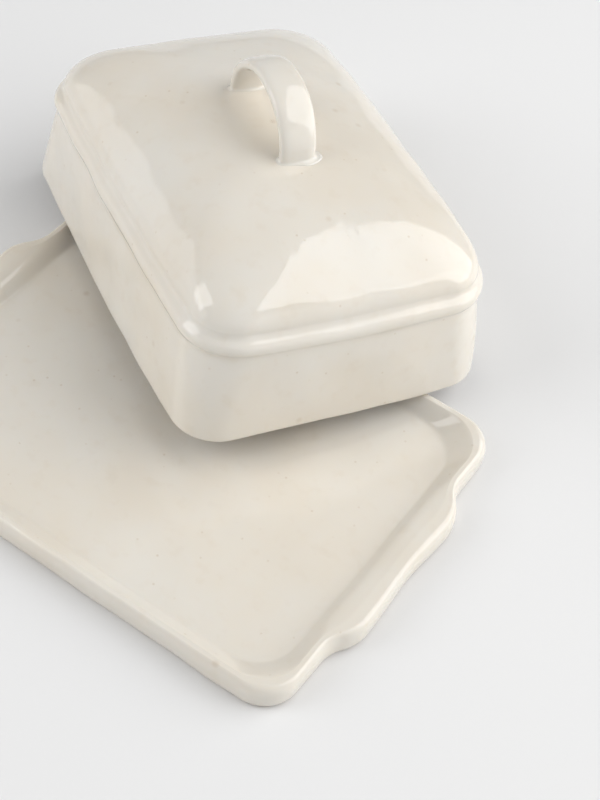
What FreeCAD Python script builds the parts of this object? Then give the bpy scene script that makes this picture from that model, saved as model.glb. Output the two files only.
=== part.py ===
import FreeCAD, Part
import math
import os

from FreeCAD import Placement, Rotation, Vector

# Covered butter dish in glazed stoneware: a shallow oblong tray with an ear at each short
# end, and a deep domed lid with a strap handle. All sizes are in millimetres.
# +X runs along the tray, +Z is up, and the origin is the centre of the tray's foot.
# The lid is off its seat: it stands askew, leaning on the tray's far long rim and its left
# short rim, with its far bottom edge on the table.

# ---- driving dimensions: tray
TRAY_HALF_LENGTH = 96.0
TRAY_HALF_WIDTH = 71.0
TRAY_CORNER = 13.0
RIM_HEIGHT = 10.8
RIM_WIDTH = 5.0
FLOOR_HEIGHT = 5.9
FLOOR_INSET = 10.0
EAR_PROJECTION = 6.4
EAR_HALF_WIDTH = 43.5
EAR_NOTCH_RADIUS = 14.0
EAR_END_RADIUS = 16.0
RIM_OUTER_ROUND = 2.4
RIM_INNER_ROUND = 1.6
BASE_ROUND = 1.5

# ---- driving dimensions: lid
LID_HALF_LENGTH = 86.3
LID_HALF_WIDTH = 62.3
LID_CORNER = 16.5
LIP_CORNER = 21.5
LID_BOW = 2.5
LID_WALL = 5.0
LIP_START = 35.8
DOME_START = 45.2
DOME_RISE = 23.5
DOME_FULLNESS = 2.05
CAVITY_DROP = 1.0
CAVITY_RISE = 20.5
BOTTOM_ROUND = 0.9

# the lid's outside up to the dome: inset from the bottom outline, height, corner radius
LID_OUTSIDE = (
    (BOTTOM_ROUND, 0.0, LID_CORNER),
    (0.0, BOTTOM_ROUND, LID_CORNER),
    (3.3, LIP_START, LIP_CORNER),
    (2.2, LIP_START + 1.1, LIP_CORNER),
    (2.0, LIP_START + 3.0, LIP_CORNER),
    (3.0, LIP_START + 5.9, LIP_CORNER),
    (5.1, LIP_START + 8.2, LID_CORNER),
    (5.4, DOME_START, LID_CORNER),
)

# the dome's outlines: their scales from its edge to its crown, the corners' share of the
# half width at the crown, where the outline is nearly an oval, and how soon they round off
DOME_SCALES = (1.0, 0.985, 0.94, 0.86, 0.74, 0.58, 0.38, 0.16)
CROWN_ROUNDNESS = 0.8
DOME_ROUNDING = 0.55

# ---- driving dimensions: strap handle
HANDLE_INNER_HALF_SPAN = 19.8
HANDLE_INNER_RISE = 16.7
HANDLE_THICKNESS = 4.5
HANDLE_HALF_WIDTH = 7.0
HANDLE_FOOT_FLARE = 1.6
HANDLE_EDGE_ROUND = 1.6
HANDLE_ROOT_DEPTH = 4.0
HANDLE_SEAT_HEIGHT = 68.6
HANDLE_SPARE = 1.0
ON_WIRE = 0.001

# ---- how the lid stands: turn about Z, then lean about X and Y, then the shift
LID_YAW = -30.9
LID_LEAN_X = -5.81
LID_LEAN_Y = -0.49
LID_SHIFT = Vector(-25.4, 80.8, 9.28)


def polar(centre, radius, towards):
    """Point at a distance from a centre, on the way towards another point."""
    direction = towards - centre
    direction.normalize()
    return centre + direction * radius


def line(start, end):
    return Part.LineSegment(start, end).toShape()


def arc(centre, radius, start, end):
    """Arc about a centre, the short way from one point to another."""
    return Part.Arc(start, polar(centre, radius, (start + end) * 0.5), end).toShape()


def all_round(quarter, z):
    """Closed wire at one height, from the edges of a quarter mirrored into the other three."""
    half = quarter + [edge.mirror(Vector(), Vector(1, 0, 0)) for edge in quarter]
    full = half + [edge.mirror(Vector(), Vector(0, 1, 0)) for edge in half]
    wire = Part.Wire(Part.sortEdges(full)[0])
    wire.translate(Vector(0, 0, z))
    return wire


def bowed_outline(half_length, half_width, corner, bow, z):
    """Oblong wire of tangent arcs: four sides that bow out a little and four round corners."""
    long_radius = (half_length ** 2 + bow ** 2) / (2 * bow)
    short_radius = (half_width ** 2 + bow ** 2) / (2 * bow)
    long_centre = Vector(0, half_width - long_radius, 0)
    short_centre = Vector(half_length - short_radius, 0, 0)
    # the corner's centre is where two circles about the side centres meet
    reach_long = long_radius - corner
    reach_short = short_radius - corner
    gap = short_centre - long_centre
    along = (reach_long ** 2 - reach_short ** 2 + gap.Length ** 2) / (2 * gap.Length)
    aside = math.sqrt(reach_long ** 2 - along ** 2)
    unit = Vector(gap)
    unit.normalize()
    centre = long_centre + unit * along + Vector(unit.y, -unit.x, 0) * aside
    on_short = polar(short_centre, short_radius, centre)
    on_long = polar(long_centre, long_radius, centre)
    quarter = [
        arc(short_centre, short_radius, Vector(half_length, 0, 0), on_short),
        arc(centre, corner, on_short, on_long),
        arc(long_centre, long_radius, on_long, Vector(0, half_width, 0)),
    ]
    return all_round(quarter, z)


def prism(wire, height):
    return Part.Face(wire).extrude(Vector(0, 0, height))


# ---- tray
def tray_corner(half_length, half_width, corner):
    """The round corner and the half of the long side, as the last edges of a quarter."""
    centre = Vector(half_length - corner, half_width - corner, 0)
    on_short = Vector(half_length, centre.y, 0)
    on_long = Vector(centre.x, half_width, 0)
    return [arc(centre, corner, on_short, on_long), line(on_long, Vector(0, half_width, 0))]


def plain_outline(inset, z):
    """Oblong with round corners and straight sides, a distance inside the tray's sides."""
    half_length = TRAY_HALF_LENGTH - inset
    half_width = TRAY_HALF_WIDTH - inset
    corner = TRAY_CORNER - inset / 2
    side = line(Vector(half_length, 0, 0), Vector(half_length, half_width - corner, 0))
    return all_round([side] + tray_corner(half_length, half_width, corner), z)


def eared_outline(z):
    """The tray's outside with an ear on each short side: two S-curves and a straight edge."""
    side = TRAY_HALF_LENGTH
    tip = side + EAR_PROJECTION
    reach = EAR_NOTCH_RADIUS + EAR_END_RADIUS
    turn = math.acos(1 - EAR_PROJECTION / reach)
    notch_centre = Vector(side + EAR_NOTCH_RADIUS, EAR_HALF_WIDTH, 0)
    end_centre = Vector(tip - EAR_END_RADIUS, EAR_HALF_WIDTH - reach * math.sin(turn), 0)
    end_start = Vector(tip, end_centre.y, 0)
    joint = polar(notch_centre, EAR_NOTCH_RADIUS, end_centre)
    notch_end = Vector(side, EAR_HALF_WIDTH, 0)
    quarter = [
        line(Vector(tip, 0, 0), end_start),
        arc(end_centre, EAR_END_RADIUS, end_start, joint),
        arc(notch_centre, EAR_NOTCH_RADIUS, joint, notch_end),
        line(notch_end, Vector(side, TRAY_HALF_WIDTH - TRAY_CORNER, 0)),
    ]
    return all_round(quarter + tray_corner(side, TRAY_HALF_WIDTH, TRAY_CORNER), z)


def edges_of(shape, wire):
    """Edges of a shape that run along a wire."""

    def on_wire(point):
        return wire.distToShape(Part.Vertex(point))[0] < ON_WIRE

    found = []
    for edge in shape.Edges:
        ends = (edge.FirstParameter, edge.LastParameter)
        middle = (ends[0] + ends[1]) / 2
        if all(on_wire(edge.valueAt(parameter)) for parameter in (ends[0], middle, ends[1])):
            found.append(edge)
    return found


def tray():
    """Floor, flared rim and ears in one piece of clay, flat underneath."""
    body = prism(eared_outline(0), RIM_HEIGHT)
    body = body.makeFillet(RIM_OUTER_ROUND, edges_of(body, eared_outline(RIM_HEIGHT)))
    body = body.makeFillet(BASE_ROUND, edges_of(body, eared_outline(0)))
    mouth = plain_outline(RIM_WIDTH, RIM_HEIGHT)
    well = Part.makeLoft([plain_outline(FLOOR_INSET, FLOOR_HEIGHT), mouth], True, True)
    body = body.cut(well)
    return body.makeFillet(RIM_INNER_ROUND, edges_of(body, mouth))


# ---- lid
def wall_outline(inset, z, corner):
    return bowed_outline(LID_HALF_LENGTH - inset, LID_HALF_WIDTH - inset, corner, LID_BOW, z)


def dome_sections(inset, start, rise, edge_corner):
    """Outlines that shrink up a dome whose section is a super-ellipse."""
    sections = []
    edge_roundness = edge_corner / (LID_HALF_WIDTH - inset)
    for scale in DOME_SCALES:
        half_length = (LID_HALF_LENGTH - inset) * scale
        half_width = (LID_HALF_WIDTH - inset) * scale
        share = (1 - scale) ** DOME_ROUNDING
        roundness = edge_roundness + (CROWN_ROUNDNESS - edge_roundness) * share
        height = rise * (1 - scale ** DOME_FULLNESS) ** (1 / DOME_FULLNESS)
        corner = half_width * roundness
        sections.append(bowed_outline(half_length, half_width, corner, LID_BOW * scale, start + height))
    return sections


def lid_solid():
    """The lid's outside as one filled solid: flared wall, rounded lip, groove and dome."""
    wall = Part.makeLoft([wall_outline(*row) for row in LID_OUTSIDE], True, True)
    groove_inset, groove_height, corner = LID_OUTSIDE[-1]
    dome = Part.makeLoft(dome_sections(groove_inset, groove_height, DOME_RISE, corner), True, False)
    return wall.fuse(dome)


def lid_cavity():
    """The hollow inside the lid: one wall thickness in from the outside, open below."""
    top_inset = LID_OUTSIDE[-1][0] + LID_WALL
    top = DOME_START - CAVITY_DROP
    corner = LID_CORNER - LID_WALL / 2
    outlines = [wall_outline(LID_WALL, 0, corner), wall_outline(top_inset, top, corner)]
    wall = Part.makeLoft(outlines, True, True)
    dome = Part.makeLoft(dome_sections(top_inset, top, CAVITY_RISE, corner), True, False)
    return wall.fuse(dome)


def lid_shell():
    return lid_solid().cut(lid_cavity())


# ---- handle
def arch(half_span, rise, base, depth):
    """Half an ellipse standing on two short legs, as a face in the XZ plane."""
    top = Vector(0, 0, base + rise)
    ellipse = Part.Ellipse(Vector(half_span, 0, base), top, Vector(0, 0, base))
    right = Vector(half_span, 0, base)
    left = Vector(-half_span, 0, base)
    curve = Part.ArcOfEllipse(ellipse, 0, math.pi)
    legs = [
        Part.LineSegment(left, Vector(-half_span, 0, base - depth)),
        Part.LineSegment(Vector(-half_span, 0, base - depth), Vector(half_span, 0, base - depth)),
        Part.LineSegment(Vector(half_span, 0, base - depth), right),
    ]
    return Part.Face(Part.Wire([curve.toShape()] + [leg.toShape() for leg in legs]))


def handle_width_profile(base, top):
    """Side view of the strap, flaring into the feet, as a face in the YZ plane."""
    foot = HANDLE_HALF_WIDTH + HANDLE_FOOT_FLARE
    waist_height = base + HANDLE_INNER_RISE / 2
    bottom = base - HANDLE_ROOT_DEPTH

    def side(sign):
        low = Vector(0, sign * foot, bottom)
        bend = Vector(0, sign * (HANDLE_HALF_WIDTH + HANDLE_FOOT_FLARE / 4), (bottom + waist_height) / 2)
        waist = Vector(0, sign * HANDLE_HALF_WIDTH, waist_height)
        return low, bend, waist

    low_right, bend_right, waist_right = side(1)
    low_left, bend_left, waist_left = side(-1)
    top_right = Vector(0, HANDLE_HALF_WIDTH, top)
    top_left = Vector(0, -HANDLE_HALF_WIDTH, top)
    edges = [
        Part.Arc(low_right, bend_right, waist_right),
        Part.LineSegment(waist_right, top_right),
        Part.LineSegment(top_right, top_left),
        Part.LineSegment(top_left, waist_left),
        Part.Arc(waist_left, bend_left, low_left),
        Part.LineSegment(low_left, low_right),
    ]
    return Part.Face(Part.Wire([edge.toShape() for edge in edges]))


def runs_along_strap(edge):
    """True for an edge that goes up and over, not across the strap's width."""
    box = edge.BoundBox
    return box.YLength < HANDLE_HALF_WIDTH and box.ZLength > HANDLE_EDGE_ROUND


def handle_strap():
    """The arched strap, its long edges rounded, its feet run a little into the dome."""
    base = HANDLE_SEAT_HEIGHT
    top = base + HANDLE_INNER_RISE + HANDLE_THICKNESS
    reach = HANDLE_INNER_HALF_SPAN + HANDLE_THICKNESS
    width = 2 * (HANDLE_HALF_WIDTH + HANDLE_FOOT_FLARE)
    outer = arch(reach, HANDLE_INNER_RISE + HANDLE_THICKNESS, base, HANDLE_ROOT_DEPTH)
    inner = arch(HANDLE_INNER_HALF_SPAN, HANDLE_INNER_RISE, base, HANDLE_ROOT_DEPTH + HANDLE_SPARE)
    band = outer.cut(inner).extrude(Vector(0, width, 0))
    band.translate(Vector(0, -width / 2, 0))
    profile = handle_width_profile(base, top + HANDLE_SPARE).extrude(Vector(2 * reach, 0, 0))
    profile.translate(Vector(-reach, 0, 0))
    strap = band.common(profile)
    return strap.makeFillet(HANDLE_EDGE_ROUND, [edge for edge in strap.Edges if runs_along_strap(edge)])


def lid_handle():
    return handle_strap().cut(lid_solid())


# ---- assembly
def standing_askew(shape):
    """Turn, lean and shift a lid piece from its upright place to where it stands."""
    turned = Rotation(Vector(0, 0, 1), LID_YAW)
    lean_x = Rotation(Vector(1, 0, 0), LID_LEAN_X)
    lean_y = Rotation(Vector(0, 1, 0), LID_LEAN_Y)
    placed = shape.copy()
    placed.Placement = Placement(LID_SHIFT, lean_y.multiply(lean_x).multiply(turned))
    return placed


def main():
    os.makedirs("parts", exist_ok=True)
    nodes = {
        "tray": tray(),
        "lid_shell": standing_askew(lid_shell()),
        "lid_handle": standing_askew(lid_handle()),
    }
    for name, shape in nodes.items():
        shape.exportStep("parts/" + name + ".step")
        box = shape.BoundBox
        print(name, shape.isValid(), len(shape.Solids), round(shape.Volume), box)
    print("lid to tray", round(nodes["lid_shell"].distToShape(nodes["tray"])[0], 3))


main()
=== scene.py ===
import math

import bpy
import numpy as np
from mathutils import Matrix, Vector, noise
from mathutils.bvhtree import BVHTree


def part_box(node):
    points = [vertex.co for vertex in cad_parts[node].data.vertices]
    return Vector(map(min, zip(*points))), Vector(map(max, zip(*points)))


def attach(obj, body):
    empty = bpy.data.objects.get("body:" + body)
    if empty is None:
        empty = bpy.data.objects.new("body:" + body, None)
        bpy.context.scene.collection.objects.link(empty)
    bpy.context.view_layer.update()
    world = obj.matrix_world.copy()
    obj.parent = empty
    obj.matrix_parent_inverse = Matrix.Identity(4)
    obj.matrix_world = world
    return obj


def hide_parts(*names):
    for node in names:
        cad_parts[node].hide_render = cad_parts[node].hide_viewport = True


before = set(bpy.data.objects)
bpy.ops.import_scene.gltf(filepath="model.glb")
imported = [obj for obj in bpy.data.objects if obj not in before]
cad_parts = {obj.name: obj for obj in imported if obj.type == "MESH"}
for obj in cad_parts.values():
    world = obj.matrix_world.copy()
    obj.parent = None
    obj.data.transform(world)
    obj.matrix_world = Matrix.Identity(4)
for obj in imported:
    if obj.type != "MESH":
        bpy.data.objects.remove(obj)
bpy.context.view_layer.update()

# Looks of the covered butter dish: a shallow eared tray and a domed lid with a strap handle,
# all in glossy off-white glazed stoneware. Lengths are in metres.

MM = 0.001

# the drift's noise takes its seed from the clock unless one is set
DRIFT_SEED = 7
noise.seed_set(DRIFT_SEED)

# ---- driving dimensions that the frame's boxes don't give
SKIN = 0.1 * MM                # the mesh starts this far inside the CAD surface
TRAY_CORNER = 13.0 * MM
EAR_HALF_WIDTH = 43.5 * MM
EAR_NOTCH_RADIUS = 14.0 * MM
EAR_END_RADIUS = 16.0 * MM
EAR_PROJECTION = 6.4 * MM
EAR_DIP = 1.0 * MM             # the ear's edge is this much hollow in its middle
TRAY_BOW = 0.4 * MM
LID_CORNER = 16.5 * MM
LIP_CORNER = 21.5 * MM
LID_BOW = 2.5 * MM
LID_WALL = 5.0 * MM
LIP_START = 35.8 * MM
DOME_START = 45.2 * MM
DOME_RISE = 23.4 * MM
DOME_INSET = 5.5 * MM
DOME_FULLNESS = 2.05
CAVITY_DROP = 1.0 * MM
CAVITY_RISE = 20.3 * MM
HANDLE_INNER_HALF_SPAN = 19.8 * MM
HANDLE_THICKNESS = 4.4 * MM
HANDLE_HALF_WIDTH = 7.0 * MM
FOOT_HALF_WIDTH = 6.6 * MM

# hand-made unevenness: depth, size of its waves and seed
TRAY_DRIFT = (0.45 * MM, 20 * MM, 7)
TRAY_WAVES = ((0.35 * MM, 45 * MM, 1), (0.15 * MM, 16 * MM, 2))
LID_DRIFT = (0.5 * MM, 18 * MM, 6)
LID_WAVES = ((0.35 * MM, 42 * MM, 3), (0.11 * MM, 17 * MM, 8))
HANDLE_WAVES = ((0.3 * MM, 12 * MM, 5),)

# how the lid stands askew: turned about Z, then leaned about X and Y
LID_TURN = (
    Matrix.Rotation(math.radians(-0.49), 4, "Y")
    @ Matrix.Rotation(math.radians(-5.81), 4, "X")
    @ Matrix.Rotation(math.radians(-30.9), 4, "Z")
)


def own_box(node):
    """Lowest and highest corner of a lid node in axes that turn with the lid."""
    back = LID_TURN.inverted()
    points = np.array([back @ vertex.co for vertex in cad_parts[node].data.vertices])
    return points.min(axis=0), points.max(axis=0)


lid_low, lid_high = own_box("lid_shell")
handle_low, handle_high = own_box("lid_handle")
LID_HALF_LENGTH = (lid_high[0] - lid_low[0]) / 2 - SKIN
LID_HALF_WIDTH = (lid_high[1] - lid_low[1]) / 2 - SKIN
LID_FOOT = Vector(((lid_low[0] + lid_high[0]) / 2, (lid_low[1] + lid_high[1]) / 2, lid_low[2]))
LID_PLACE = Matrix.Translation(LID_TURN @ LID_FOOT) @ LID_TURN
HANDLE_TOP = handle_high[2] - lid_low[2] - SKIN
tray_low, tray_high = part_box("tray")
TRAY_HALF_LENGTH = tray_high[0] - EAR_PROJECTION - SKIN
TRAY_HALF_WIDTH = tray_high[1] - SKIN
RIM_HEIGHT = tray_high[2] - SKIN


# ---- curves
def arc_points(centre, radius, start, end, steps):
    angles = np.linspace(start, end, steps + 1)[:-1]
    return np.column_stack((centre[0] + radius * np.cos(angles), centre[1] + radius * np.sin(angles)))


def oblong(half_length, half_width, corner, bow, steps):
    """Ring of points round an oblong of tangent arcs, anticlockwise from its +X side's middle."""
    long_radius = (half_length ** 2 + bow ** 2) / (2 * bow)
    short_radius = (half_width ** 2 + bow ** 2) / (2 * bow)
    long_centre = np.array((0.0, half_width - long_radius))
    short_centre = np.array((half_length - short_radius, 0.0))
    gap = short_centre - long_centre
    distance = np.hypot(*gap)
    reach = long_radius - corner
    along = (reach ** 2 - (short_radius - corner) ** 2 + distance ** 2) / (2 * distance)
    aside = math.sqrt(reach ** 2 - along ** 2)
    unit = gap / distance
    centre = long_centre + unit * along + np.array((unit[1], -unit[0])) * aside
    to_short = math.atan2(*(centre - short_centre)[::-1])
    to_long = math.atan2(*(centre - long_centre)[::-1])
    short_steps, corner_steps, long_steps = steps
    quarter = np.vstack((
        arc_points(short_centre, short_radius, 0.0, to_short, short_steps),
        arc_points(centre, corner, to_short, to_long, corner_steps),
        arc_points(long_centre, long_radius, to_long, math.pi / 2, long_steps),
        np.array([[0.0, half_width]]),
    ))
    half = np.vstack((quarter, quarter[-2::-1] * (-1, 1)))
    return np.vstack((half, half[-2:0:-1] * (1, -1)))


def smooth(points, steps):
    """Cubic B-spline along a few control rows, from the first to the last."""
    rows = np.array(points, float)
    rows = np.vstack((2 * rows[0] - rows[1], rows, 2 * rows[-1] - rows[-2]))
    spans = []
    for index in range(len(rows) - 3):
        t = np.linspace(0.0, 1.0, steps, endpoint=False)[:, None]
        weights = (1 - t) ** 3, 3 * t ** 3 - 6 * t ** 2 + 4, -3 * t ** 3 + 3 * t ** 2 + 3 * t + 1, t ** 3
        spans.append(sum(w * rows[index + k] for k, w in enumerate(weights)) / 6)
    return np.vstack(spans + [rows[-2][None, :]])


def skin_mesh(name, rings):
    """Closed mesh through rings of equal length, each end shut with a fan about its middle."""
    count = len(rings[0])
    vertices = [tuple(point) for ring in rings for point in ring]
    faces = []
    for row in range(len(rings) - 1):
        base = row * count
        for k in range(count):
            after = (k + 1) % count
            faces.append((base + k, base + after, base + count + after, base + count + k))
    for end, row in ((0, 0), (1, len(rings) - 1)):
        middle = len(vertices)
        vertices.append(tuple(np.mean(rings[row], axis=0)))
        for k in range(count):
            pair = (row * count + k, row * count + (k + 1) % count)
            faces.append((middle, pair[1], pair[0]) if end == 0 else (middle, pair[0], pair[1]))
    mesh = bpy.data.meshes.new(name)
    mesh.from_pydata(vertices, [], faces)
    mesh.update()
    mesh.polygons.foreach_set("use_smooth", [True] * len(faces))
    piece = bpy.data.objects.new(name, mesh)
    bpy.context.collection.objects.link(piece)
    return piece


def move_vertices(piece, new_place):
    """Moves all vertices at once, each to where a function of it says."""
    spots = [new_place(vertex) for vertex in piece.data.vertices]
    for vertex, spot in zip(piece.data.vertices, spots):
        vertex.co = spot
    piece.data.update()


def waver(piece, depth, size, seed):
    """Hand-made unevenness: pushes the surface in by up to a depth, in soft waves of a size."""
    shift = Vector((seed * 3.1, seed * 7.7, seed * 1.3))

    def pushed_in(vertex):
        wave = noise.noise(vertex.co / size + shift) * 0.5 + 0.5
        return vertex.co - vertex.normal * depth * wave

    move_vertices(piece, pushed_in)


def wander(piece, reach, size, seed):
    """Lets lips and creases drift a little off their ideal lines, as on hand-finished clay."""
    shift = Vector((seed * 2.9, seed * 5.3, seed * 4.1))

    def drifted(vertex):
        drift = noise.noise_vector(vertex.co / size + shift) * reach
        return vertex.co + drift - vertex.normal * reach * 0.5

    move_vertices(piece, drifted)


def keep_above_table(piece):
    """Flattens whatever reaches below the surface that the dish stands on."""
    for vertex in piece.data.vertices:
        vertex.co.z = max(vertex.co.z, 0.0)
    piece.data.update()


def paint(piece, name, values):
    """Stores one number per vertex, for the materials to read."""
    layer = piece.data.attributes.new(name, "FLOAT", "POINT")
    layer.data.foreach_set("value", list(values))


# ---- tray
TRAY_STEPS = (64, 28, 44)      # points along half a short side, a corner and half a long side
PROFILE_STEPS = 4
TRAY_CORNER_GROWTH = 0.35
UNDERSIDE_SCALES = (0.05, 0.3, 0.55, 0.8)
FLOOR_SCALES = np.linspace(0.94, 0.04, 22)
FOOT_HEIGHT = 0.02 * MM        # what starts lower than this stays flat on the table
TRAY_BARE_HEIGHT = 1.2 * MM    # all bare clay is lower than this

# from the middle of the underside round the rim to the floor: inset, height and share of the ear
TRAY_PROFILE = [
    (22.0, 0.0, 0.0), (9.0, 0.0, 0.55), (4.5, 0.0, 0.8), (2.2, 0.0, 0.9), (1.0, 0.15, 0.96),
    (0.3, 0.9, 1.0), (0.1, 2.6, 1.0), (0.0, 5.0, 1.0), (0.1, 7.2, 1.0), (0.5, 8.9, 1.0),
    (1.4, 10.3, 0.98), (2.7, 10.95, 0.9), (3.7, 10.85, 0.66), (4.4, 10.5, 0.4), (5.0, 10.05, 0.16),
    (6.4, 8.85, 0.0), (7.9, 7.6, 0.0), (9.3, 6.4, 0.0), (9.9, 6.0, 0.0), (10.7, 5.8, 0.0),
    (14.0, 5.8, 0.0), (19.0, 5.85, 0.0), (26.0, 5.9, 0.0),
]


def ear_reach(y):
    """How far the ear stands out of the short side at a distance from its middle."""
    reach = EAR_NOTCH_RADIUS + EAR_END_RADIUS
    turn = math.acos(1 - EAR_PROJECTION / reach)
    joint = EAR_HALF_WIDTH - EAR_NOTCH_RADIUS * math.sin(turn)
    stop = EAR_HALF_WIDTH - reach * math.sin(turn)
    y = abs(y)
    if y >= EAR_HALF_WIDTH:
        return 0.0
    if y >= joint:
        return EAR_NOTCH_RADIUS - math.sqrt(EAR_NOTCH_RADIUS ** 2 - (EAR_HALF_WIDTH - y) ** 2)
    if y >= stop:
        return EAR_PROJECTION - EAR_END_RADIUS + math.sqrt(EAR_END_RADIUS ** 2 - (y - stop) ** 2)
    return EAR_PROJECTION - EAR_DIP * math.cos(y / stop * math.pi / 2) ** 2


def tray_ring(inset, height, ear, scale=1.0):
    """Ring round the tray, pulled out at both ends by a share of the ear's reach."""
    half_length = (TRAY_HALF_LENGTH - inset) * scale
    half_width = (TRAY_HALF_WIDTH - inset) * scale
    corner = (TRAY_CORNER + inset * TRAY_CORNER_GROWTH) * scale
    ring = oblong(half_length, half_width, corner, TRAY_BOW * scale, TRAY_STEPS)
    reach = np.array([ear_reach(y) for y in ring[:, 1]])
    on_end = np.abs(ring[:, 0]) > half_length - corner
    ring[:, 0] += np.sign(ring[:, 0]) * reach * ear * on_end
    return np.column_stack((ring, np.full(len(ring), height)))


def make_tray():
    profile = smooth([(inset * MM, height * MM, ear) for inset, height, ear in TRAY_PROFILE], PROFILE_STEPS)
    profile[:, 1] = np.clip(profile[:, 1], 0.0, RIM_HEIGHT)
    rings = [tray_ring(*profile[0][:2], 0.0, scale) for scale in UNDERSIDE_SCALES]
    rings += [tray_ring(*row) for row in profile]
    rings += [tray_ring(*profile[-1][:2], 0.0, scale) for scale in FLOOR_SCALES]
    piece = skin_mesh("stoneware_tray", rings)
    ideal = np.array([vertex.co.z for vertex in piece.data.vertices])
    wander(piece, *TRAY_DRIFT)
    for waves in TRAY_WAVES:
        waver(piece, *waves)
    for vertex, height in zip(piece.data.vertices, ideal):
        if height < FOOT_HEIGHT:
            vertex.co.z = 0.0
    keep_above_table(piece)
    paint(piece, "bare_clay", np.clip(1 - ideal / TRAY_BARE_HEIGHT, 0, 1))
    return piece


# ---- lid
LID_STEPS = (46, 34, 62)       # points along half a short side, a corner and half a long side
DOME_STEPS = 46
CAVITY_STEPS = 20
CAVITY_WALL_STEPS = 12
CROWN_SCALE = 0.012            # the innermost ring's share of the dome
BOW_FLOOR = 0.02               # the sides' bow shrinks with the rings down to this share
LID_BARE_HEIGHT = 1.3 * MM     # all bare clay is lower than this

# round the bottom edge and up the outside: inset from the bottom outline, height, corner radius
LID_WALL_PROFILE = [
    (3.4, 0.0, 16.5), (1.9, 0.0, 16.5), (0.7, 0.1, 16.5), (0.05, 0.8, 16.5), (0.0, 2.4, 16.6),
    (0.4, 7.0, 17.0), (1.25, 16.0, 18.2), (2.1, 25.5, 19.7), (2.75, 31.5, 20.8), (3.05, 34.0, 21.3),
    (3.1, 35.6, 21.5), (2.8, 36.7, 21.5), (2.3, 37.7, 21.5), (2.05, 38.9, 21.5), (2.2, 40.2, 21.4),
    (2.7, 41.4, 21.0), (3.6, 42.4, 20.0), (4.6, 43.2, 18.6), (5.25, 44.1, 17.4), (5.5, 44.9, 16.6),
]
# round the bottom edge on the inside: how far out of the inner wall, and height
INNER_EDGE = ((0.2, 1.1), (0.6, 0.35), (1.1, 0.0))

# the dome's corners: their share of the half width at the crown, and how soon they round off
CROWN_ROUNDNESS = 0.8
DOME_ROUNDING = 0.55


def dome_height(scale, rise):
    """Height of the dome's ring of a scale, on a section that is a super-ellipse."""
    return rise * (1 - min(scale, 1.0) ** DOME_FULLNESS) ** (1 / DOME_FULLNESS)


def wall_ring(inset, height, corner):
    ring = oblong(LID_HALF_LENGTH - inset, LID_HALF_WIDTH - inset, corner, LID_BOW, LID_STEPS)
    return np.column_stack((ring, np.full(len(ring), height)))


def dome_ring(inset, height, scale):
    half_length = (LID_HALF_LENGTH - inset) * scale
    half_width = (LID_HALF_WIDTH - inset) * scale
    roundness = LID_CORNER / (LID_HALF_WIDTH - inset)
    corner = half_width * (roundness + (CROWN_ROUNDNESS - roundness) * (1 - scale) ** DOME_ROUNDING)
    ring = oblong(half_length, half_width, corner, LID_BOW * max(scale, BOW_FLOOR), LID_STEPS)
    return np.column_stack((ring, np.full(len(ring), height)))


def dome_rings(inset, start, rise, steps):
    """Rings that shrink up a dome, evenly spaced along its section."""
    rings = []
    for angle in np.linspace(0, math.pi / 2, steps + 1)[:-1]:
        scale = max(math.cos(angle) ** (2 / DOME_FULLNESS), CROWN_SCALE)
        rings.append(dome_ring(inset, start + dome_height(scale, rise), scale))
    rings.append(dome_ring(inset, start + rise, CROWN_SCALE))
    return rings


def lid_inside():
    """Rings from the crown of the cavity down its wall to the bottom edge."""
    inset = DOME_INSET + LID_WALL
    top = DOME_START - CAVITY_DROP
    corner = LID_CORNER - LID_WALL / 2
    rings = dome_rings(inset, top, CAVITY_RISE, CAVITY_STEPS)[::-1]
    for share in np.linspace(0, 1, CAVITY_WALL_STEPS)[1:-1]:
        rings.append(wall_ring(inset - (inset - LID_WALL) * share, top * (1 - share), corner))
    for out, height in INNER_EDGE:
        rings.append(wall_ring(LID_WALL - out * MM, height * MM, corner))
    return rings


def lid_outside():
    """Rings from the bottom edge up the wall, over the lip and up the dome."""
    wall = smooth(np.array(LID_WALL_PROFILE) * MM, PROFILE_STEPS)
    return [wall_ring(*row) for row in wall] + dome_rings(DOME_INSET, DOME_START, DOME_RISE, DOME_STEPS)


def make_lid():
    piece = skin_mesh("stoneware_lid", lid_inside() + lid_outside())
    wander(piece, *LID_DRIFT)
    for waves in LID_WAVES:
        waver(piece, *waves)
    heights = [vertex.co.z for vertex in piece.data.vertices]
    paint(piece, "bare_clay", [max(0.0, 1 - height / LID_BARE_HEIGHT) for height in heights])
    return piece


# ---- handle
HANDLE_SEGMENTS = 72
HANDLE_RINGS = 60
SECTION_POWER = 3.0            # how square the strap's section is
HANDLE_SINK = 0.3 * MM         # the arch springs from this far below the crown
ROOT_DEPTH = 0.5 * MM          # the feet reach this far into the dome
ARCH_START = 9                 # degrees up the arch where the feet end
FEET_SHARE = 4                 # how soon the strap's width goes over into the feet's
FILLET = 1.1 * MM
FILLET_STEPS = (0.0, 0.03, 0.08, 0.16, 0.28, 0.45, 0.7, 1.0)
POOL_SIDE = Vector((0.45, 0.9)).normalized()
POOL_SPREAD = 1.9
ABOVE_DOME = 0.2               # rays that look for the dome come down from this height


def strap_section(half_width, half_thickness):
    """Rounded flat section: width across, thickness up."""
    angles = np.linspace(0, 2 * math.pi, HANDLE_SEGMENTS, endpoint=False)
    cosines, sines = np.cos(angles), np.sin(angles)
    across = half_width * np.sign(cosines) * np.abs(cosines) ** (2 / SECTION_POWER)
    thick = half_thickness * np.sign(sines) * np.abs(sines) ** (2 / SECTION_POWER)
    return across, thick


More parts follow.
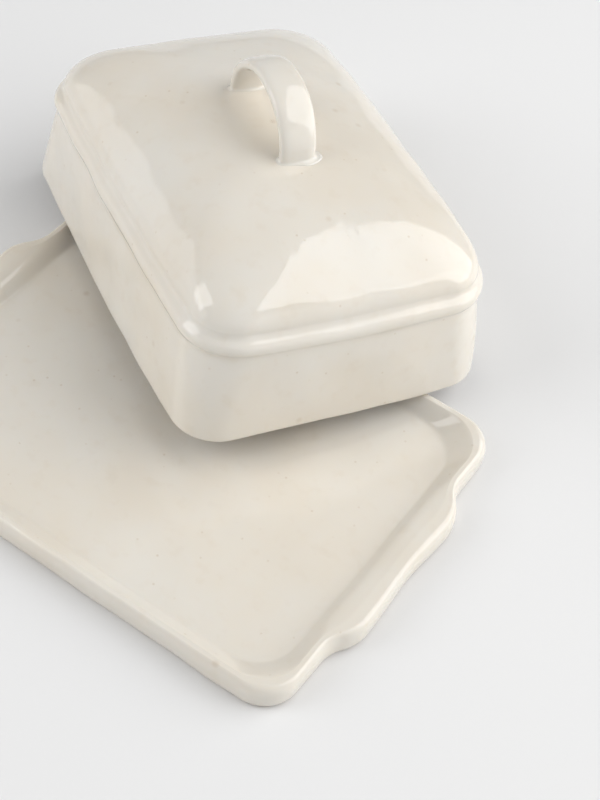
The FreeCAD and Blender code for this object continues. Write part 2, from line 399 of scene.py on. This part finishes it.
def foot_ring(surface, half_span, side, lift):
    """Ring round a foot at one height above the dome, wider where the glaze has pooled."""
    closeness = max(0.0, 1 - lift / FILLET)
    flare = FILLET * (1 - math.sqrt(max(0.0, 1 - closeness ** 2))) if lift >= 0 else FILLET
    across, thick = strap_section(FOOT_HALF_WIDTH, HANDLE_THICKNESS / 2)
    ring = []
    for a, t in zip(across, thick):
        outward = Vector((t, a)).normalized()
        pool = 1 + POOL_SPREAD * max(0.0, outward.dot(POOL_SIDE)) ** 2
        x = side * (half_span + t + outward.x * flare * pool)
        y = a + outward.y * flare * pool
        hit = surface.ray_cast(Vector((x, y, ABOVE_DOME)), Vector((0, 0, -1)))
        ring.append((x, y, hit[0].z + lift))
    return np.array(ring)


def arch_ring(half_span, seat, rise, angle):
    """Ring round the strap at one angle along its half ellipse."""
    centre = np.array((half_span * math.cos(angle), seat + rise * math.sin(angle)))
    outward = np.array((math.cos(angle) / half_span, math.sin(angle) / rise))
    outward /= np.hypot(*outward)
    near_foot = abs(math.cos(angle)) ** FEET_SHARE
    half_width = HANDLE_HALF_WIDTH + (FOOT_HALF_WIDTH - HANDLE_HALF_WIDTH) * near_foot
    across, thick = strap_section(half_width, HANDLE_THICKNESS / 2)
    bend = centre[:, None] + outward[:, None] * thick
    return np.column_stack((bend[0], across, bend[1]))


def make_handle(lid):
    """Strap bent over half an ellipse, with feet that flare into the dome as luted clay does."""
    surface = BVHTree.FromObject(lid, bpy.context.evaluated_depsgraph_get())
    half_span = HANDLE_INNER_HALF_SPAN + HANDLE_THICKNESS / 2
    seat = DOME_START + DOME_RISE - HANDLE_SINK
    rise = HANDLE_TOP - HANDLE_THICKNESS / 2 - seat
    lifts = [-ROOT_DEPTH] + [FILLET * part for part in FILLET_STEPS]
    right = [foot_ring(surface, half_span, 1, lift) for lift in lifts]
    left = [foot_ring(surface, half_span, -1, lift) for lift in reversed(lifts)]
    angles = np.linspace(math.radians(ARCH_START), math.radians(180 - ARCH_START), HANDLE_RINGS)
    arch = [arch_ring(half_span, seat, rise, angle) for angle in angles]
    piece = skin_mesh("strap_handle", right + arch + left)
    for waves in HANDLE_WAVES:
        waver(piece, *waves)
    paint(piece, "bare_clay", [0.0] * len(piece.data.vertices))
    return piece


# ---- materials
# sockets of the Mix node, which has one set for numbers and one for colours
MIX_SHARE = 0
MIX_NUMBERS = (2, 3)
MIX_COLOURS = (6, 7)
MIX_NUMBER_OUT = 0
MIX_COLOUR_OUT = 2


def node(tree, kind, **settings):
    made = tree.nodes.new(kind)
    for name, value in settings.items():
        setattr(made, name, value)
    return made


def shifted(tree, coordinates, offset):
    """The coordinates moved by an offset, so that two patterns of one kind differ."""
    mapping = node(tree, "ShaderNodeMapping")
    mapping.inputs["Location"].default_value = offset
    tree.links.new(coordinates, mapping.inputs["Vector"])
    return mapping.outputs["Vector"]


def noise_at(tree, coordinates, scale, detail, seed):
    """Noise texture in the object's own coordinates, shifted by a seed."""
    texture = node(tree, "ShaderNodeTexNoise")
    texture.inputs["Scale"].default_value = scale
    texture.inputs["Detail"].default_value = detail
    offset = (seed * 1.7, seed * 0.9, seed * 2.3)
    tree.links.new(shifted(tree, coordinates, offset), texture.inputs["Vector"])
    return texture.outputs["Fac"]


def ramp(tree, source, low, high, to_low=0.0, to_high=1.0):
    """Maps a stretch of a value onto another one, held inside its ends."""
    made = node(tree, "ShaderNodeMapRange")
    made.inputs["From Min"].default_value = low
    made.inputs["From Max"].default_value = high
    made.inputs["To Min"].default_value = to_low
    made.inputs["To Max"].default_value = to_high
    tree.links.new(source, made.inputs["Value"])
    return made.outputs["Result"]


def blend_colour(tree, share, first, second):
    """Goes from the first colour to the second; each is a colour or another node's output."""
    made = node(tree, "ShaderNodeMix", data_type="RGBA")
    for index, value in zip(MIX_COLOURS, (first, second)):
        if isinstance(value, tuple):
            made.inputs[index].default_value = (*value, 1.0)
        else:
            tree.links.new(value, made.inputs[index])
    tree.links.new(share, made.inputs[MIX_SHARE])
    return made.outputs[MIX_COLOUR_OUT]


def arithmetic(tree, operation, first, second):
    made = node(tree, "ShaderNodeMath", operation=operation)
    for index, value in enumerate((first, second)):
        if isinstance(value, (int, float)):
            made.inputs[index].default_value = value
        else:
            tree.links.new(value, made.inputs[index])
    return made.outputs[0]


DOT_CORE = 0.35                # a dot is at its strongest up to this share of its radius
CHOICE_EDGE = 0.04             # dots this close to the threshold are fainter


def specks(tree, coordinates, scale, radius, share, seed):
    """Sparse soft dots: the few cells of a Voronoi pattern whose own colour passes a threshold."""
    cells = node(tree, "ShaderNodeTexVoronoi")
    cells.inputs["Scale"].default_value = scale
    offset = (seed * 0.37, seed * 1.1, seed * 0.53)
    tree.links.new(shifted(tree, coordinates, offset), cells.inputs["Vector"])
    dot = ramp(tree, cells.outputs["Distance"], radius * DOT_CORE, radius, 1.0, 0.0)
    parts = node(tree, "ShaderNodeSeparateColor")
    tree.links.new(cells.outputs["Color"], parts.inputs["Color"])
    chosen = ramp(tree, parts.outputs["Red"], 1 - share, 1 - share + CHOICE_EDGE)
    return arithmetic(tree, "MULTIPLY", dot, chosen)


GLAZE_WARM = (0.735, 0.680, 0.590)
GLAZE_COOL = (0.745, 0.712, 0.648)
GLAZE_THIN = (0.640, 0.545, 0.425)
SPECK_TAN = (0.50, 0.38, 0.25)
CLAY = (0.56, 0.45, 0.34)
CLAY_PALE = (0.66, 0.57, 0.46)
CLAY_ROUGHNESS = 0.85
GLAZE_ROUGHNESS = (0.04, 0.09)
GLAZE_IOR = 1.55
THIN_STRENGTH = 0.22
SPECK_STRENGTH = 0.28
DUST_STRENGTH = 0.35
CLAY_DUST_STRENGTH = 0.5
PEEL_SHARE = 0.02              # relief of the orange peel and the pinholes, next to the ripples
PINHOLE_SHARE = 0.12
RELIEF_STRENGTH = 0.5
RELIEF_HEIGHT = 0.35 * MM


def glaze_colour(tree, coordinates, grain, dust, bare, seed):
    """Two whites in soft clouds, thin spots, tan specks and dust, and clay where it is bare."""
    clouds = noise_at(tree, coordinates, scale=22, detail=3, seed=seed)
    colour = blend_colour(tree, ramp(tree, clouds, 0.36, 0.64), GLAZE_WARM, GLAZE_COOL)
    colour = blend_colour(tree, ramp(tree, grain, 0.56, 0.8, 0.0, THIN_STRENGTH), colour, GLAZE_THIN)
    spots = specks(tree, coordinates, scale=95, radius=0.16, share=0.16, seed=seed)
    colour = blend_colour(tree, arithmetic(tree, "MULTIPLY", spots, SPECK_STRENGTH), colour, SPECK_TAN)
    colour = blend_colour(tree, arithmetic(tree, "MULTIPLY", dust, DUST_STRENGTH), colour, SPECK_TAN)
    clay = blend_colour(tree, ramp(tree, grain, 0.35, 0.65), CLAY, CLAY_PALE)
    clay = blend_colour(tree, arithmetic(tree, "MULTIPLY", dust, CLAY_DUST_STRENGTH), clay, SPECK_TAN)
    return blend_colour(tree, bare, colour, clay)


def bare_share(tree, grain):
    """Where the clay is bare: the painted foot and edge, with a ragged border."""
    painted = node(tree, "ShaderNodeAttribute", attribute_name="bare_clay").outputs["Fac"]
    edge = arithmetic(tree, "ADD", painted, ramp(tree, grain, 0.3, 0.7, -0.3, 0.3))
    return ramp(tree, edge, 0.35, 0.6)


def glaze_roughness(tree, coordinates, bare, seed):
    """Glossy and a little uneven on the glaze, matt on the clay."""
    patches = noise_at(tree, coordinates, scale=60, detail=3, seed=seed + 3)
    gloss = ramp(tree, patches, 0.3, 0.7, *GLAZE_ROUGHNESS)
    rough = node(tree, "ShaderNodeMix")
    tree.links.new(bare, rough.inputs[MIX_SHARE])
    tree.links.new(gloss, rough.inputs[MIX_NUMBERS[0]])
    rough.inputs[MIX_NUMBERS[1]].default_value = CLAY_ROUGHNESS
    return rough.outputs[MIX_NUMBER_OUT]


def glaze_relief(tree, coordinates, dust, seed):
    """Soft ripples, fine orange peel, and pinholes where the dust is."""
    ripple = noise_at(tree, coordinates, scale=75, detail=2, seed=seed + 4)
    peel = noise_at(tree, coordinates, scale=900, detail=2, seed=seed + 5)
    height = arithmetic(tree, "ADD", ripple, arithmetic(tree, "MULTIPLY", peel, PEEL_SHARE))
    height = arithmetic(tree, "SUBTRACT", height, arithmetic(tree, "MULTIPLY", dust, PINHOLE_SHARE))
    bump = node(tree, "ShaderNodeBump")
    bump.inputs["Strength"].default_value = RELIEF_STRENGTH
    bump.inputs["Distance"].default_value = RELIEF_HEIGHT
    tree.links.new(height, bump.inputs["Height"])
    return bump.outputs["Normal"]


def glaze(name, seed):
    """Glossy warm white glaze over stoneware, a little translucent."""
    material = bpy.data.materials.new(name)
    material.use_nodes = True
    tree = material.node_tree
    shader = tree.nodes["Principled BSDF"]
    coordinates = node(tree, "ShaderNodeTexCoord").outputs["Object"]
    grain = noise_at(tree, coordinates, scale=160, detail=4, seed=seed + 1)
    dust = specks(tree, coordinates, scale=330, radius=0.2, share=0.1, seed=seed + 2)
    bare = bare_share(tree, grain)
    colour = glaze_colour(tree, coordinates, grain, dust, bare, seed)
    tree.links.new(colour, shader.inputs["Base Color"])
    tree.links.new(glaze_roughness(tree, coordinates, bare, seed), shader.inputs["Roughness"])
    tree.links.new(glaze_relief(tree, coordinates, dust, seed), shader.inputs["Normal"])
    shader.inputs["IOR"].default_value = GLAZE_IOR
    shader.inputs["Subsurface Weight"].default_value = 0.12
    shader.inputs["Subsurface Radius"].default_value = (1.0, 0.75, 0.5)
    shader.inputs["Subsurface Scale"].default_value = 2.0 * MM
    return material


FIBRE_SHADE = 0.995


def paper(name, colour):
    """Matt seamless paper for the floor."""
    material = bpy.data.materials.new(name)
    material.use_nodes = True
    tree = material.node_tree
    shader = tree.nodes["Principled BSDF"]
    coordinates = node(tree, "ShaderNodeTexCoord").outputs["Object"]
    fibres = noise_at(tree, coordinates, scale=700, detail=3, seed=9)
    darker = tuple(channel * FIBRE_SHADE for channel in colour)
    shade = blend_colour(tree, ramp(tree, fibres, 0.3, 0.7), colour, darker)
    tree.links.new(shade, shader.inputs["Base Color"])
    shader.inputs["Roughness"].default_value = 0.9
    shader.inputs["Specular IOR Level"].default_value = 0.2
    return material


# ---- assembly
def set_down(piece, matrix):
    """Moves a piece from its upright place on the origin to where it stands."""
    piece.data.transform(matrix)
    piece.data.update()


def finish_piece(piece, body, cad_node, seed):
    piece.data.materials.append(glaze(piece.name + "_glaze", seed))
    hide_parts(cad_node)
    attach(piece, body)


tray = make_tray()
lid = make_lid()
handle = make_handle(lid)
set_down(lid, LID_PLACE)
set_down(handle, LID_PLACE)
keep_above_table(lid)
finish_piece(tray, "tray", "tray", 1.0)
finish_piece(lid, "lid", "lid_shell", 2.0)
finish_piece(handle, "lid", "lid_handle", 3.0)


# ---- stage
FLOOR_HALF = 6.0
FLOOR_DROP = 0.05 * MM         # keeps the floor just clear of the pieces' undersides
PAPER_COLOUR = (0.785, 0.785, 0.785)
AIR_BRIGHTNESS = 0.24


def make_floor():
    corners = [(-1, -1), (1, -1), (1, 1), (-1, 1)]
    mesh = bpy.data.meshes.new("studio_floor")
    mesh.from_pydata([(x * FLOOR_HALF, y * FLOOR_HALF, 0) for x, y in corners], [], [(0, 1, 2, 3)])
    floor = bpy.data.objects.new("studio_floor", mesh)
    bpy.context.collection.objects.link(floor)
    floor.location.z = -FLOOR_DROP
    mesh.materials.append(paper("studio_paper", PAPER_COLOUR))


def make_light(name, spot, width, tall, watts):
    """Area light that looks at the dish."""
    data = bpy.data.lights.new(name, "AREA")
    data.shape = "RECTANGLE"
    data.size = width
    data.size_y = tall
    data.energy = watts
    light = bpy.data.objects.new(name, data)
    light.location = spot
    light.rotation_euler = (LIGHTS_AIM - spot).to_track_quat("-Z", "Y").to_euler()
    bpy.context.collection.objects.link(light)


def make_world(strength):
    world = bpy.data.worlds.new("studio_air")
    world.use_nodes = True
    background = world.node_tree.nodes["Background"]
    background.inputs["Color"].default_value = (1.0, 1.0, 1.0, 1.0)
    background.inputs["Strength"].default_value = strength
    bpy.context.scene.world = world


CAMERA_PLACE = Vector((0.2082, -0.2850, 0.4564))
CAMERA_LOOK = Vector((-0.30854, 0.55619, -0.77166))
CAMERA_ROLL = math.radians(7.96)
CAMERA_LENS = 72.0
SENSOR_WIDTH = 36.0


def make_camera():
    data = bpy.data.cameras.new("studio_camera")
    data.lens = CAMERA_LENS
    data.sensor_width = SENSOR_WIDTH
    data.clip_start = 0.01
    camera = bpy.data.objects.new("studio_camera", data)
    camera.location = CAMERA_PLACE
    look = CAMERA_LOOK.to_track_quat("-Z", "Y")
    camera.rotation_euler = (look.to_matrix() @ Matrix.Rotation(CAMERA_ROLL, 3, "Z")).to_euler()
    bpy.context.collection.objects.link(camera)
    bpy.context.scene.camera = camera


# for each light: bearing from the dish and height above it in degrees, then distance, width
# and tallness in metres, and watts
LIGHTS = {
    "window_right": (41, 36, 1.3, 1.5, 1.6, 18.6),
    "window_left": (-136, 38, 1.2, 0.6, 0.9, 4.8),
    "bounce_right": (4, 16, 1.5, 2.6, 1.1, 7.0),
    "bounce_left": (-146, 18, 1.6, 2.2, 1.2, 9.0),
    "bounce_front": (-62, 60, 1.9, 2.6, 2.2, 3.6),
    "bounce_back": (120, 14, 1.6, 1.6, 0.8, 0.6),
}
LIGHTS_AIM = Vector((0.0, 0.05, 0.03))


def make_lights():
    for name, (bearing, height, distance, width, tall, watts) in LIGHTS.items():
        raised = Matrix.Rotation(math.radians(-height), 3, "Y")
        turn = Matrix.Rotation(math.radians(bearing), 3, "Z") @ raised
        make_light(name, LIGHTS_AIM + turn @ Vector((distance, 0, 0)), width, tall, watts)


make_floor()
make_world(AIR_BRIGHTNESS)
make_lights()
make_camera()
bpy.context.scene.view_settings.view_transform = "Standard"
